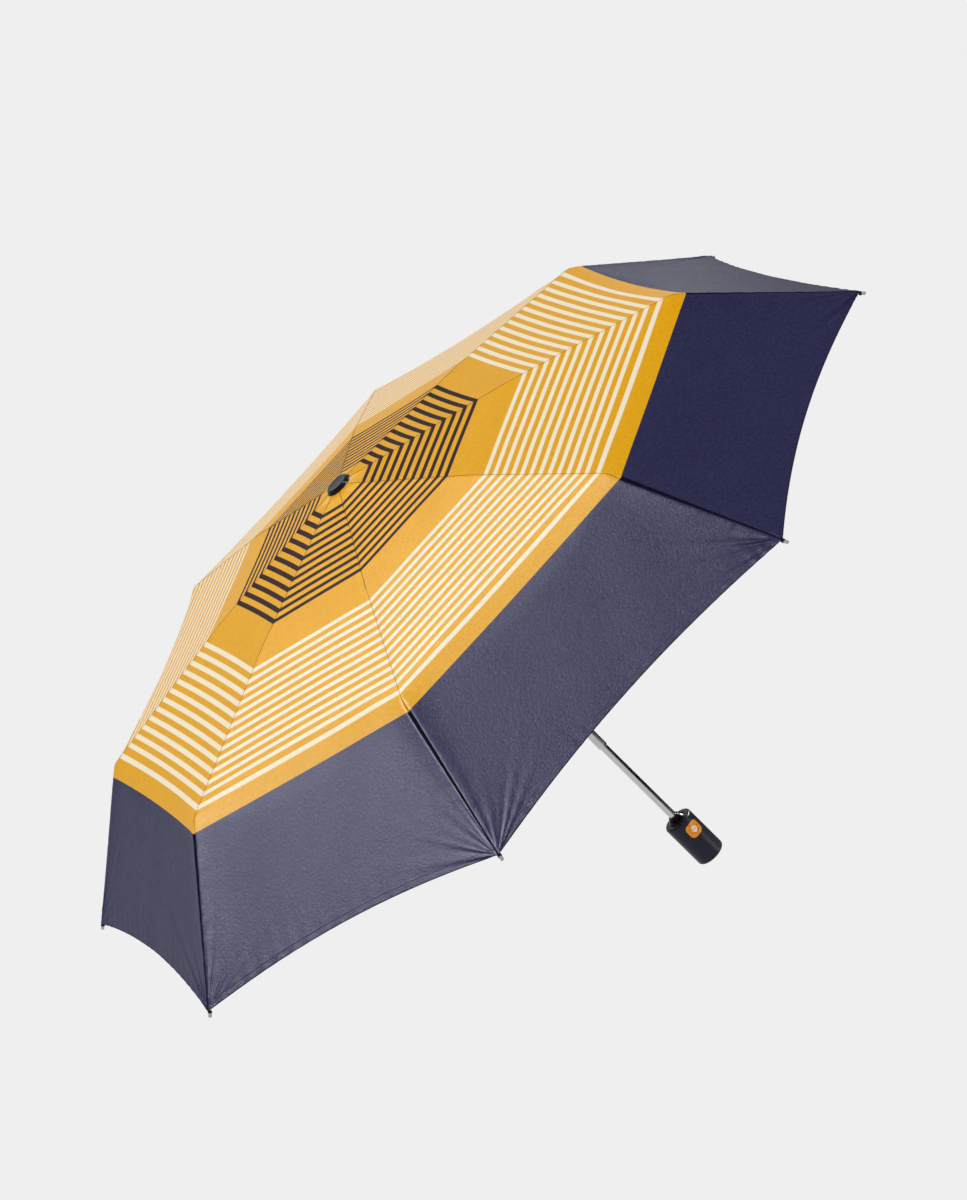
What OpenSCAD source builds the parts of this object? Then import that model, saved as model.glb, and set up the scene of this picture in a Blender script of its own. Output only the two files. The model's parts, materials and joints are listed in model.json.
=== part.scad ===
// Compact folding umbrella with an automatic button, shown open.
// Three-section telescopic shaft, eight three-section ribs, one canopy.
// Units are millimetres. The origin is the middle of the handle's bottom, +Z runs up the shaft to the crown.
// Rib 1 points along +X and the others follow every 45 degrees. In a rib's own frame x runs outwards along
// the rib, y is the turning axis of its joints, and z points to the fabric.

/* [Handle] */
// Outer radius of the handle
handle_r = 15.9; // [14:0.1:20]
// Length of the handle from its bottom to its shoulder
handle_len = 54; // [48:1:80]
// Wall of the handle shell
handle_wall = 2.6; // [1.6:0.1:4]
// Radius of the round edge at the handle's shoulder
shoulder_round = 2.5; // [1:0.1:4]
// Radius of the round edge at the handle's bottom
bottom_round = 3; // [1:0.1:3]
// Height of the bottom cap's rim below the shell
base_rim_h = 6.4; // [6:0.1:9]
// Thickness of the bottom cap under the lowest tube
base_floor_h = 6; // [3:0.5:8]
// Radius of the collar round the shaft
collar_r = 9.6; // [8:0.1:12]
// Height of the collar above the handle's shoulder
collar_h = 6; // [4:0.5:12]
// Radius of the inner column that holds the lowest tube
column_r = 7; // [6:0.1:8]

/* [Button] */
// Side of the square button
button_side = 16; // [10:0.5:18]
// Radius of the button's rounded corners
button_corner = 4.7; // [2:0.1:5]
// Height of the button's middle above the handle's bottom
button_z = 39.5; // [30:0.5:42]
// Direction in which the button faces
button_azimuth = 82; // [0:1:360]
// How far the button stands out of the handle
button_proud = 0; // [0:0.1:2]
// How far the button can be pressed
button_travel = 1.5; // [0.5:0.1:2]
// Radius of the round dish in the button's face
button_dish_r = 4.8; // [2:0.1:4.8]

/* [Shaft] */
// Outer radius of the lowest, thinnest tube
lower_tube_r = 4; // [3.6:0.1:4.2]
// Length of the lowest tube
lower_tube_len = 188; // [180:1:200]
// Wall of the lowest tube
lower_tube_wall = 0.6; // [0.4:0.1:1]
// Outer radius of the middle tube
middle_tube_r = 5; // [4.8:0.1:5.2]
// Length of the middle tube
middle_tube_len = 205; // [195:1:215]
// Outer radius of the top tube
upper_tube_r = 6; // [5.8:0.1:6.2]
// Length of the top tube
upper_tube_len = 213.2; // [210:0.1:230]
// How far one tube stays inside the next when the shaft is out
tube_overlap = 26; // [15:1:40]
// Gap between a tube and the tube that slides on it
slide_gap = 0.08; // [0.05:0.01:0.1]

/* [Crown] */
// Radius at which the rib joints sit round the shaft, in the notch and in the runner
pivot_r = 9.5; // [9.5:0.1:11]
// Radius of the notch disc that carries the ribs
notch_r = 12.5; // [12.2:0.1:14]
// Thickness of the notch's roof above the rib slots
notch_roof = 1; // [0.6:0.1:2]
// Radius of the crown cap
cap_r = 14.5; // [13:0.5:20]
// Thickness of the crown cap
cap_h = 4.4; // [2:0.1:6]
// Radius of the wire ring that threads the rib eyes
ring_wire_r = 0.7; // [0.5:0.05:0.9]

/* [Runner] */
// Length of the runner's sleeve below its rib joints
runner_len = 15.5; // [12:0.5:16]
// Radius of the runner's sleeve
runner_sleeve_r = 8; // [7.8:0.1:9]
// Radius of the runner's finger ring
runner_grip_r = 11; // [9:0.5:13]

/* [Ribs] */
// Number of ribs
rib_count = 8; // [4:1:8]
// Length of the top rib from joint to joint
top_rib_len = 182.5; // [178:0.5:183]
// Length of the middle rib from joint to joint
mid_rib_len = 183; // [176:0.5:183]
// Length of the outer rib from its joint to the canopy's corner
tip_rib_len = 182; // [170:0.5:184]
// Slope of the top rib below the horizontal
top_slope = 9.7; // [8:0.1:12]
// Slope of the middle rib below the horizontal
mid_slope = 12.4; // [11:0.1:14]
// Slope of the outer rib below the horizontal
tip_slope = 41.5; // [36:0.5:46]
// Direction of the folded middle rib above the horizontal
mid_folded = 89.3; // [88:0.1:89.5]
// Direction of the folded outer rib below the horizontal
tip_folded = 90.3; // [89.5:0.1:90.5]
// Width of the top and middle ribs
rib_w = 4.2; // [4:0.1:4.4]
// Depth of the top and middle ribs
rib_h = 3; // [2.6:0.1:3.2]
// Sheet thickness of the ribs' side walls
rib_wall = 0.7; // [0.5:0.05:0.8]
// Sheet thickness of the ribs' roof
rib_roof = 0.6; // [0.4:0.05:0.9]
// Width of the tongues that turn between the walls of the next rib
tongue_w = 2; // [1.6:0.1:2.1]
// Radius of the thin outer rib
tip_rod_r = 1; // [0.8:0.05:1.2]
// Radius of the small cap at each canopy corner
tip_cap_r = 1.7; // [1.6:0.1:2.4]
// Length of the small cap at each canopy corner
tip_cap_len = 6; // [6:0.5:12]

/* [Stretchers and links] */
// Distance from the notch joint to the stretcher's joint on the top rib
stretcher_seat = 98; // [94:0.5:98.5]
// Drop of the stretcher's joint below the middle of the top rib
stretcher_drop = 3.3; // [3.1:0.1:3.6]
// Width of the stretcher
stretcher_w = 2.4; // [2:0.1:2.5]
// Depth of the stretcher
stretcher_h = 2.6; // [2:0.1:2.8]
// Length of the crank arms that drive the middle rib
link_arm = 11.5; // [11:0.5:13]
// Length of the crank arms that drive the outer rib
wire_arm = 11; // [9:0.5:12]
// Angle of the outer rib's crank arm below the middle rib
wire_arm_angle = 8; // [5:0.5:12]
// Depth of the flat link bar
link_h = 1.8; // [1.4:0.1:2.2]
// Radius of the wire that folds the outer rib
wire_r = 0.4; // [0.3:0.05:0.4]
// Radius of the rivets
rivet_r = 0.7; // [0.5:0.05:0.8]

/* [Canopy] */
// Height of the fabric's fold line above the joint of the top and middle ribs
fabric_over_joint = 2.6; // [2.4:0.1:4]
// Height of the fabric's fold line above the joint of the middle and outer ribs
fabric_over_knuckle = 5.2; // [5:0.1:7]
// Gap between the fabric and the outer rib at a canopy corner
fabric_gap = 0.3; // [0.2:0.1:1]
// Thickness of the canopy solid
fabric_t = 0.5; // [0.4:0.05:0.6]
// How much shorter the canopy is between two corners than at a corner, along its surface
rim_scallop = 13; // [0:1:30]
// How far the fabric between two ribs hangs inside a straight line, as a share of its radius
gore_sag = 0.006; // [0:0.001:0.012]

/* [Hidden] */
$fn = 32;
fit = 0.1;             // play round a rivet or a ring
side_gap = 0.3;        // play between two sheets that pass each other
seat_gap = 0.05;       // play of a seated piece
eye_wall = 1;          // metal round a rivet
gore_strips = 4;       // strips across one gore of the canopy solid
zone_steps = [1, 3, 3, 4];   // steps along the canopy: crown, top rib, middle rib, outer rib

// ---- shaft levels
lower_bottom = base_floor_h;
lower_top = lower_bottom + lower_tube_len;
middle_bottom = lower_top - tube_overlap;
middle_top = middle_bottom + middle_tube_len;
upper_bottom = middle_top - tube_overlap;
upper_top = upper_bottom + upper_tube_len;
middle_bore = lower_tube_r + slide_gap;
upper_bore = middle_tube_r + slide_gap;
collar_top = handle_len + collar_h;

// ---- rib joints, as [distance from the shaft, height]
function along(a) = [cos(a), -sin(a)];
function upright(a) = [sin(a), cos(a)];
function turn(p, a) = p[0] * along(a) + p[1] * upright(a);
function slope_of(p) = atan2(-p[1], p[0]);
eye_r = rivet_r + eye_wall;
ring_eye_r = ring_wire_r + fit + eye_wall;
notch_top = upper_top;
notch_joint = [pivot_r, notch_top - notch_roof - ring_eye_r - fit];
joint_rise = 0.3;      // a fold joint sits this far outside the ribs' edge
bar_end = 0.15;        // a flat bar's round ends stand out by this much
knuckle = rib_h / 2 + joint_rise;
top_end_local = [top_rib_len, knuckle];
mid_joint = notch_joint + turn(top_end_local, top_slope);
mid_end_local = [mid_rib_len, -rib_h - 2 * joint_rise];
tip_joint = mid_joint + turn(mid_end_local, mid_slope);
tip_rod_z = joint_rise + rib_h / 2;
tip_end = tip_joint + turn([tip_rib_len, tip_rod_z], tip_slope);
seat_local = [stretcher_seat, -stretcher_drop];
seat_joint = notch_joint + turn(seat_local, top_slope);
seat_slope = slope_of(seat_joint - notch_joint);
runner_joint = [pivot_r, 2 * seat_joint[1] - notch_joint[1]];
stretcher_len = norm(seat_joint - runner_joint);

// ---- how far each joint turns when the ribs fold
fold_angle = 90 - seat_slope;
stretcher_turn = 2 * fold_angle;
mid_turn = mid_folded + mid_slope + fold_angle;
tip_turn = mid_folded + tip_folded - (tip_slope - mid_slope);

// ---- crank arms: equal chords at both ends of the fold, so both link pivots meet there
link_arm_local = 180 + seat_slope + top_slope;
tail_len = link_arm * sin(stretcher_turn / 2) / sin(mid_turn / 2);
tail_local = link_arm_local + (stretcher_turn - mid_turn) / 2;
link_pivot = seat_joint + turn(link_arm * [cos(link_arm_local), sin(link_arm_local)], top_slope);
tail_pivot = mid_joint + turn(tail_len * [cos(tail_local), sin(tail_local)], top_slope);
wire_pivot = mid_joint + wire_arm * along(mid_slope + wire_arm_angle);
tip_arm = wire_arm * sin(mid_turn / 2) / sin(tip_turn / 2);
tip_arm_slope = mid_slope + wire_arm_angle + (mid_turn - tip_turn) / 2;
tip_arm_pivot = tip_joint + tip_arm * along(tip_arm_slope);

// ---- layers across a rib
cheek = rib_w / 2 - rib_wall;
link_in = rib_w / 2 + side_gap;
link_t = 0.7;
crank_in = rib_w / 2 + side_gap;
crank_t = 0.7;
wire_in = crank_in + crank_t + side_gap - 0.1;
wire_eye_t = 2 * wire_r;
stub = 0.15;

// ---- fabric line over a rib, as [distance from the shaft, height]
fabric_hole_r = upper_bore - 0.3;
crown_line = notch_top + 0.2 + fabric_t;
cap_bottom = crown_line + 0.2;
fold_line_1 = mid_joint + fabric_over_joint * upright((top_slope + mid_slope) / 2);
fold_line_2 = tip_joint + fabric_over_knuckle * upright((mid_slope + tip_slope) / 2);
corner_line = tip_joint + turn([tip_rib_len - fabric_gap, tip_rod_z + tip_rod_r + fabric_t + fabric_gap], tip_slope);
fabric_line = [[fabric_hole_r, crown_line], [cap_r, crown_line], fold_line_1, fold_line_2, corner_line];

// ---------------------------------------------------------------- shared shapes

// A disc whose rim is rounded by a quarter circle, above or below.
module round_top_disc(r, h, edge, sides = 64) {
    cylinder(h = h - edge, r = r, $fn = sides);
    cylinder(h = h, r = r - edge, $fn = sides);
    translate([0, 0, h - edge]) rotate_extrude($fn = sides) translate([r - edge, 0]) circle(r = edge);
}

// A rod across the rib, from y0 to y1.
module cross_pin(x, z, y0, y1, r) {
    translate([x, y0, z]) rotate([-90, 0, 0]) cylinder(h = y1 - y0, r = r);
}

// A flat bar in the rib's plane from a to b, with round ends a little wider than the bar.
module flat_bar(a, b, h, y0, y1) {
    translate([a[0], 0, a[1]]) rotate([0, slope_of(b - a), 0]) {
        translate([0, y0, -h / 2]) cube([norm(b - a), y1 - y0, h]);
        for (x = [0, norm(b - a)]) cross_pin(x, 0, y0, y1, h / 2 + bar_end);
    }
}

// Places a shape drawn along x at a joint, in the plane of rib i.
module in_rib(i, joint, slope) {
    rotate([0, 0, 360 / rib_count * (i - 1)])
        translate([joint[0], 0, joint[1]]) rotate([0, slope, 0]) children();
}

// A tube from z0 up.
module tube(z0, len, r, bore) {
    translate([0, 0, z0]) difference() {
        cylinder(h = len, r = r, $fn = 64);
        translate([0, 0, -1]) cylinder(h = len + 2, r = bore, $fn = 64);
    }
}

// ---------------------------------------------------------------- handle

shell_bore = handle_r - handle_wall;
window_gap = 0.2;
lip = 1;

// A square bar with round corners that runs out from the shaft at the button.
module button_bar(side, corner, from, to) {
    rotate([0, 0, button_azimuth]) translate([from, 0, button_z]) rotate([90, 0, 90]) {
        flat = side - 2 * corner;
        translate([-side / 2, -flat / 2, 0]) cube([side, flat, to - from]);
        translate([-flat / 2, -side / 2, 0]) cube([flat, side, to - from]);
        for (u = [-1, 1], v = [-1, 1])
            translate([u * flat / 2, v * flat / 2, 0]) cylinder(h = to - from, r = corner);
    }
}

module handle_shell() {
    color([0.13, 0.13, 0.17]) difference() {
        translate([0, 0, base_rim_h])
            round_top_disc(handle_r, handle_len - base_rim_h, shoulder_round);
        cylinder(h = handle_len - handle_wall, r = shell_bore, $fn = 64);
        translate([0, 0, 1]) cylinder(h = handle_len, r = collar_r - 2, $fn = 64);
        button_bar(button_side + 2 * window_gap, button_corner + window_gap, shell_bore - 3, handle_r + 3);
    }
}

module handle_collar() {
    spigot_r = collar_r - 2 - seat_gap;
    color([0.03, 0.03, 0.03]) difference() {
        union() {
            translate([0, 0, handle_len]) round_top_disc(collar_r, collar_h, 1.6);
            translate([0, 0, handle_len - handle_wall]) cylinder(h = handle_wall + 1, r = spigot_r, $fn = 64);
        }
        translate([0, 0, handle_len - handle_wall - 1])
            cylinder(h = collar_h + handle_wall + 3, r = lower_tube_r + seat_gap, $fn = 64);
    }
}

// The bottom cap carries the column that the lowest tube stands in.
module base_cap() {
    column_top = handle_len - handle_wall - 0.4;
    color([0.1, 0.1, 0.13]) difference() {
        union() {
            translate([0, 0, base_rim_h]) mirror([0, 0, 1])
                round_top_disc(handle_r, base_rim_h, bottom_round);
            cylinder(h = base_rim_h + 3, r = shell_bore - seat_gap, $fn = 64);
            cylinder(h = column_top, r = column_r, $fn = 64);
        }
        translate([0, 0, lower_bottom]) cylinder(h = column_top, r = lower_tube_r + seat_gap, $fn = 64);
        spring_well();
    }
}

// ---------------------------------------------------------------- button

spring_r = 2.6;
spring_wire_r = 0.3;
button_back = shell_bore - 2;
spring_seat = lower_tube_r + 1.2;
spring_foot = spring_seat + button_travel + 0.1;
spring_turns = 4;

module spring_well() {
    rotate([0, 0, button_azimuth]) translate([spring_seat, 0, button_z]) rotate([0, 90, 0])
        cylinder(h = column_r, r = spring_r + spring_wire_r + side_gap);
}

module button() {
    mark_depth = 0.3;
    color([0.93, 0.56, 0.08]) difference() {
        union() {
            intersection() {
                button_bar(button_side, button_corner, button_back, handle_r + button_proud + 1);
                cylinder(h = handle_len, r = handle_r + button_proud, $fn = 64);
            }
            intersection() {
                button_bar(button_side + 2 * lip, button_corner + lip, button_back, handle_r);
                cylinder(h = handle_len, r = shell_bore - side_gap, $fn = 64);
            }
        }
        rotate([0, 0, button_azimuth]) translate([handle_r + button_proud - mark_depth, 0, button_z])
            rotate([0, 90, 0]) cylinder(h = 3, r = button_dish_r);
    }
}

// A coil spring whose wire follows a helix, as one closed skin.
module coil(r, wire, len, turns, steps, sides) {
    rings = turns * steps;
    function ring_point(k, j) =
        let (a = 360 * k / steps, b = 360 * j / sides, d = r + wire * cos(b))
        [d * cos(a), d * sin(a), wire + (len - 2 * wire) * k / rings + wire * sin(b)];
    points = [for (k = [0:rings], j = [0:sides - 1]) ring_point(k, j)];
    walls = [for (k = [0:rings - 1], j = [0:sides - 1])
        let (n = (j + 1) % sides)
        [k * sides + j, k * sides + n, (k + 1) * sides + n, (k + 1) * sides + j]];
    ends = [[for (j = [sides - 1:-1:0]) j], [for (j = [0:sides - 1]) rings * sides + j]];
    polyhedron(points, [for (f = concat(walls, ends)) [for (m = [len(f) - 1:-1:0]) f[m]]]);
}

module button_spring() {
    color([0.8, 0.8, 0.82]) rotate([0, 0, button_azimuth]) translate([spring_foot, 0, button_z])
        rotate([0, 90, 0]) coil(spring_r, spring_wire_r, button_back - spring_foot - 0.05, spring_turns, 12, 5);
}

// ---------------------------------------------------------------- shaft

module lower_tube() {
    color([0.78, 0.78, 0.8]) tube(lower_bottom, lower_tube_len, lower_tube_r, lower_tube_r - lower_tube_wall);
}

module middle_tube() {
    color([0.8, 0.8, 0.82]) tube(middle_bottom, middle_tube_len, middle_tube_r, middle_bore);
}

module upper_tube() {
    color([0.82, 0.82, 0.84]) tube(upper_bottom, upper_tube_len, upper_tube_r, upper_bore);
}

// ---------------------------------------------------------------- notch, crown cap, runner

slot_w = stretcher_w + 2 * fit + 0.2;
slot_in = pivot_r - ring_eye_r - fit;

// The slots in which the rib eyes turn, open outwards, upwards or downwards.
module rib_slots(z0, z1) {
    for (i = [1:rib_count]) rotate([0, 0, 360 / rib_count * (i - 1)])
        translate([slot_in, -slot_w / 2, z0]) cube([notch_r, slot_w, z1 - z0]);
}

module pivot_ring(z) {
    translate([0, 0, z]) rotate_extrude($fn = 64) translate([pivot_r, 0]) circle(r = ring_wire_r, $fn = 16);
}

notch_h = notch_roof + 2 * ring_eye_r + 2.4;

module notch() {
    color([0.12, 0.12, 0.12]) {
        difference() {
            translate([0, 0, notch_top - notch_h]) cylinder(h = notch_h, r = notch_r, $fn = 64);
            translate([0, 0, notch_top - notch_h - 1])
                cylinder(h = notch_h + 2, r = upper_tube_r + seat_gap, $fn = 64);
            rib_slots(notch_top - notch_h - 1, notch_top - notch_roof);
        }
        pivot_ring(notch_joint[1]);
    }
}

module crown_cap() {
    plug_len = 10;
    color([0.04, 0.04, 0.04]) {
        translate([0, 0, cap_bottom]) round_top_disc(cap_r, cap_h, 2);
        translate([0, 0, cap_bottom - plug_len]) cylinder(h = plug_len + 1, r = fabric_hole_r - seat_gap - 0.1);
    }
}

runner_floor = runner_joint[1] - ring_eye_r - fit;
runner_rim = runner_joint[1] + ring_eye_r;
runner_bottom = runner_joint[1] - runner_len;

module runner() {
    color([0.12, 0.12, 0.12]) {
        difference() {
            union() {
                translate([0, 0, runner_bottom]) cylinder(h = runner_len, r = runner_sleeve_r, $fn = 64);
                translate([0, 0, runner_floor - 1.6])
                    cylinder(h = runner_joint[1] - runner_floor + 1.6, r = notch_r, $fn = 64);
                translate([0, 0, runner_joint[1]])
                    cylinder(h = ring_eye_r, r1 = notch_r, r2 = notch_r - ring_eye_r, $fn = 64);
                translate([0, 0, runner_bottom]) cylinder(h = 2.4, r = runner_grip_r, $fn = 64);
                translate([0, 0, runner_bottom + 2.4])
                    cylinder(h = runner_grip_r - runner_sleeve_r, r1 = runner_grip_r, r2 = runner_sleeve_r, $fn = 64);
            }
            translate([0, 0, runner_bottom - 1])
                cylinder(h = runner_len + 10, r = upper_tube_r + slide_gap, $fn = 64);
            rib_slots(runner_floor, runner_rim + 1);
        }
        pivot_ring(runner_joint[1]);
    }
}

// ---------------------------------------------------------------- ribs

eye_bore = ring_wire_r + fit;
rivet_bore = rivet_r + fit;
channel_start = 8;
tongue_len = tail_len + eye_wall + rivet_r + 2;

// A rib pressed from sheet into a channel that is open below.
module channel(x0, x1, z_top, roof_x0, roof_x1) {
    for (s = [0, 1]) mirror([0, s, 0])
        translate([x0, cheek, z_top - rib_h]) cube([x1 - x0, rib_wall, rib_h]);
    translate([roof_x0, -rib_w / 2, z_top - rib_roof]) cube([roof_x1 - roof_x0, rib_w, rib_roof]);
}

module top_rib(i) {
    channel_end = top_rib_len - tongue_len;
    color([0.75, 0.76, 0.78]) in_rib(i, notch_joint, top_slope) {
        difference() {
            union() {
                cross_pin(0, 0, -stretcher_w / 2, stretcher_w / 2, ring_eye_r);
                translate([0, -stretcher_w / 2, -1.1]) cube([channel_start + 1, stretcher_w, 2.2]);
            }
            cross_pin(0, 0, -rib_w, rib_w, eye_bore);
        }
        channel(channel_start, channel_end, rib_h / 2, channel_start, channel_end);
        translate([channel_start, -cheek - 0.1, -rib_h / 2]) cube([2, 2 * cheek + 0.2, rib_h]);
        // tongue between the walls of the middle rib
        translate([channel_end - 2, -cheek - 0.1, -rib_h / 2]) cube([2, 2 * cheek + 0.2, rib_h]);
        translate([channel_end - 1, -tongue_w / 2, -rib_h / 2]) cube([tongue_len + 1, tongue_w, rib_h]);
        cross_pin(top_rib_len, knuckle, -tongue_w / 2, tongue_w / 2, eye_r);
        // rivet and crank arm for the wire
        cross_pin(top_rib_len, knuckle, -crank_in - crank_t, rib_w / 2, rivet_r);
        flat_bar([top_rib_len, knuckle], top_end_local + turn([wire_arm, 0], mid_slope - top_slope + wire_arm_angle),
            2 * eye_r - 1, -crank_in - crank_t, -crank_in);
        wire_seat = top_end_local + turn([wire_arm, 0], mid_slope - top_slope + wire_arm_angle);
        cross_pin(wire_seat[0], wire_seat[1], -wire_in - wire_eye_t - 0.2, -crank_in - crank_t / 2, rivet_r);
        // ears and rivet for the stretcher
        for (s = [0, 1]) mirror([0, s, 0]) {
            translate([stretcher_seat - eye_r + bar_end, cheek, -stretcher_drop])
                cube([2 * (eye_r - bar_end), rib_wall, stretcher_drop]);
            cross_pin(stretcher_seat, -stretcher_drop, cheek, rib_w / 2, eye_r);
        }
        cross_pin(stretcher_seat, -stretcher_drop, -rib_w / 2, rib_w / 2, rivet_r);
    }
}

module stretcher(i) {
    rise = -slope_of(seat_joint - runner_joint);
    side = stretcher_w / 2;
    groove = stretcher_w - 1.2;
    color([0.7, 0.71, 0.73]) in_rib(i, runner_joint, -rise) {
        difference() {
            union() {
                flat_bar([0, 0], [stretcher_len, 0], stretcher_h, -side, side);
                cross_pin(0, 0, -side, side, ring_eye_r);
                cross_pin(stretcher_len, 0, -side, side, eye_r - 0.1);
            }
            cross_pin(0, 0, -rib_w, rib_w, eye_bore);
            cross_pin(stretcher_len, 0, -rib_w, rib_w, rivet_bore);
            translate([8, -groove / 2, -stretcher_h]) cube([stretcher_len - link_arm - 16, groove, stretcher_h + 0.6]);
        }
        cross_pin(stretcher_len - link_arm, 0, 0, link_in + link_t + 0.2, rivet_r - 0.1);
    }
}

module mid_rib(i) {
    eye_start = 7;
    tail = turn([tail_len * cos(tail_local), tail_len * sin(tail_local)], top_slope - mid_slope);
    color([0.75, 0.76, 0.78]) in_rib(i, mid_joint, mid_slope) difference() {
        union() {
            channel(0, mid_rib_len, -joint_rise, eye_start, mid_rib_len - eye_start);
            for (s = [0, 1]) mirror([0, s, 0]) {
                cross_pin(0, 0, cheek, rib_w / 2, eye_r);
                cross_pin(mid_rib_len, mid_end_local[1], cheek, rib_w / 2, eye_r);
            }
            flat_bar([0, 0], tail, 2.2, cheek, rib_w / 2);
            cross_pin(tail[0], tail[1], cheek + rib_wall / 2, rib_w / 2 + stub, rivet_r);
        }
        cross_pin(0, 0, -rib_w, rib_w, rivet_bore);
        cross_pin(mid_rib_len, mid_end_local[1], -rib_w, rib_w, rivet_bore);
    }
}

module tip_rib(i) {
    bracket_len = 15;
    arm = turn([tip_arm, 0], tip_arm_slope - tip_slope);
    color([0.75, 0.76, 0.78]) in_rib(i, tip_joint, tip_slope) {
        cross_pin(0, 0, -tongue_w / 2, tongue_w / 2, eye_r);
        translate([0, -tongue_w / 2, joint_rise]) cube([bracket_len, tongue_w, rib_h]);
        cross_pin(0, 0, -crank_in - crank_t, rib_w / 2, rivet_r);
        flat_bar([0, 0], arm, 2 * eye_r - 1, -crank_in - crank_t, -crank_in);
        cross_pin(arm[0], arm[1], -crank_in - crank_t - stub, -crank_in - crank_t / 2, rivet_r);
        translate([0, 0, tip_rod_z]) rotate([0, 90, 0]) {
            translate([0, 0, bracket_len - 2]) cylinder(h = 6, r = tip_rod_r + 0.45);
            translate([0, 0, bracket_len + 1]) cylinder(h = tip_rib_len - bracket_len, r = tip_rod_r);
            translate([0, 0, tip_rib_len]) round_top_disc(tip_cap_r, tip_cap_len, 0.45 * tip_cap_r, 32);
        }
    }
}

module link(i) {
    len = norm(tail_pivot - link_pivot);
    color([0.7, 0.71, 0.73]) in_rib(i, link_pivot, slope_of(tail_pivot - link_pivot)) difference() {
        union() {
            flat_bar([0, 0], [len, 0], link_h, link_in, link_in + link_t);
            for (x = [0, len]) cross_pin(x, 0, link_in, link_in + link_t, eye_r - 0.2);
        }
        for (x = [0, len]) cross_pin(x, 0, 0, 2 * rib_w, rivet_bore - 0.1);
    }
}

module wire(i) {
    len = norm(tip_arm_pivot - wire_pivot);
    color([0.8, 0.8, 0.82]) in_rib(i, wire_pivot, slope_of(tip_arm_pivot - wire_pivot)) difference() {
        union() {
            translate([0, -wire_in - wire_r, 0]) rotate([0, 90, 0]) cylinder(h = len, r = wire_r, $fn = 16);
            for (x = [0, len]) cross_pin(x, 0, -wire_in - wire_eye_t, -wire_in, eye_r - 0.2);
        }
        for (x = [0, len]) cross_pin(x, 0, -2 * rib_w, 0, rivet_bore);
    }
}

// ---------------------------------------------------------------- canopy

// Levels down the canopy: [zone, share of that zone]
levels = [for (zone = [0:3], k = [0:zone_steps[zone] - 1]) [zone, k / zone_steps[zone]], [3, 1]];

// Point of the fabric over a rib at a level.
function over_rib(level) =
    fabric_line[level[0]] * (1 - level[1]) + fabric_line[level[0] + 1] * level[1];

// Slope of the fabric over a rib at a level.
function fabric_slope(level) = slope_of(fabric_line[level[0] + 1] - fabric_line[level[0]]);

// Point of the fabric at a level, a share u of the way from one rib to the next, lowered by depth.
function fabric_point(level, rib, u, depth) =
    let (
        across = 4 * u * (1 - u),
        reach = level[0] == 3 ? level[1] : 0,
        outer = over_rib(level) - rim_scallop * reach * across * along(fabric_slope(level)),
        step = 360 / rib_count,
        straight = cos(step / 2) / cos(step * (u - 0.5)),
        tightness = level[0] == 0 ? 0 : 1,
        r = outer[0] * (1 - tightness + tightness * straight) * (1 - gore_sag * across * tightness)
            - depth * sin(fabric_slope(level)),
        a = step * (rib + u))
    [r * cos(a), r * sin(a), outer[1] - depth * cos(fabric_slope(level))];

module canopy() {
    around = rib_count * gore_strips;
    rows = len(levels);
    top = [for (level = levels, k = [0:around - 1])
        fabric_point(level, floor(k / gore_strips), (k % gore_strips) / gore_strips, 0)];
    under = [for (level = levels, k = [0:around - 1])
        fabric_point(level, floor(k / gore_strips), (k % gore_strips) / gore_strips, fabric_t)];
    n = rows * around;
    function next(k) = (k + 1) % around;
    outside = [for (row = [0:rows - 2], k = [0:around - 1])
        [row * around + k, row * around + next(k), (row + 1) * around + next(k), (row + 1) * around + k]];
    inside = [for (f = outside) [n + f[3], n + f[2], n + f[1], n + f[0]]];
    last = (rows - 1) * around;
    rim = [for (k = [0:around - 1]) [last + k, last + next(k), n + last + next(k), n + last + k]];
    hole = [for (k = [0:around - 1]) [next(k), k, n + k, n + next(k)]];
    quads = concat(outside, inside, rim, hole);
    triangles = [for (f = quads) each [[f[0], f[2], f[1]], [f[0], f[3], f[2]]]];
    color([0.16, 0.15, 0.3]) polyhedron(concat(top, under), triangles);
}

// ---------------------------------------------------------------- the nodes

handle_shell();
handle_collar();
base_cap();
lower_tube();
button();
button_spring();
middle_tube();
upper_tube();
notch();
crown_cap();
runner();
canopy();
for (i = [1:rib_count]) {
    top_rib(i);
    stretcher(i);
    mid_rib(i);
    tip_rib(i);
    link(i);
    wire(i);
}
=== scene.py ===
# %% [markdown]
# # A compact folding umbrella
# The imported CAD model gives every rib, tube and joint in its true place. This lesson dresses it: it cuts and
# stretches the striped canopy over the ribs, sews it, turns the shaft and the handle, and finishes every surface
# with a procedural material. All lengths in the frame are metres; helper values named in mm are turned into
# metres where a mesh is made.

# %% Load the frame
import json
import math
import bmesh
import bpy
import numpy as np
from mathutils import Matrix, Vector

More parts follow.
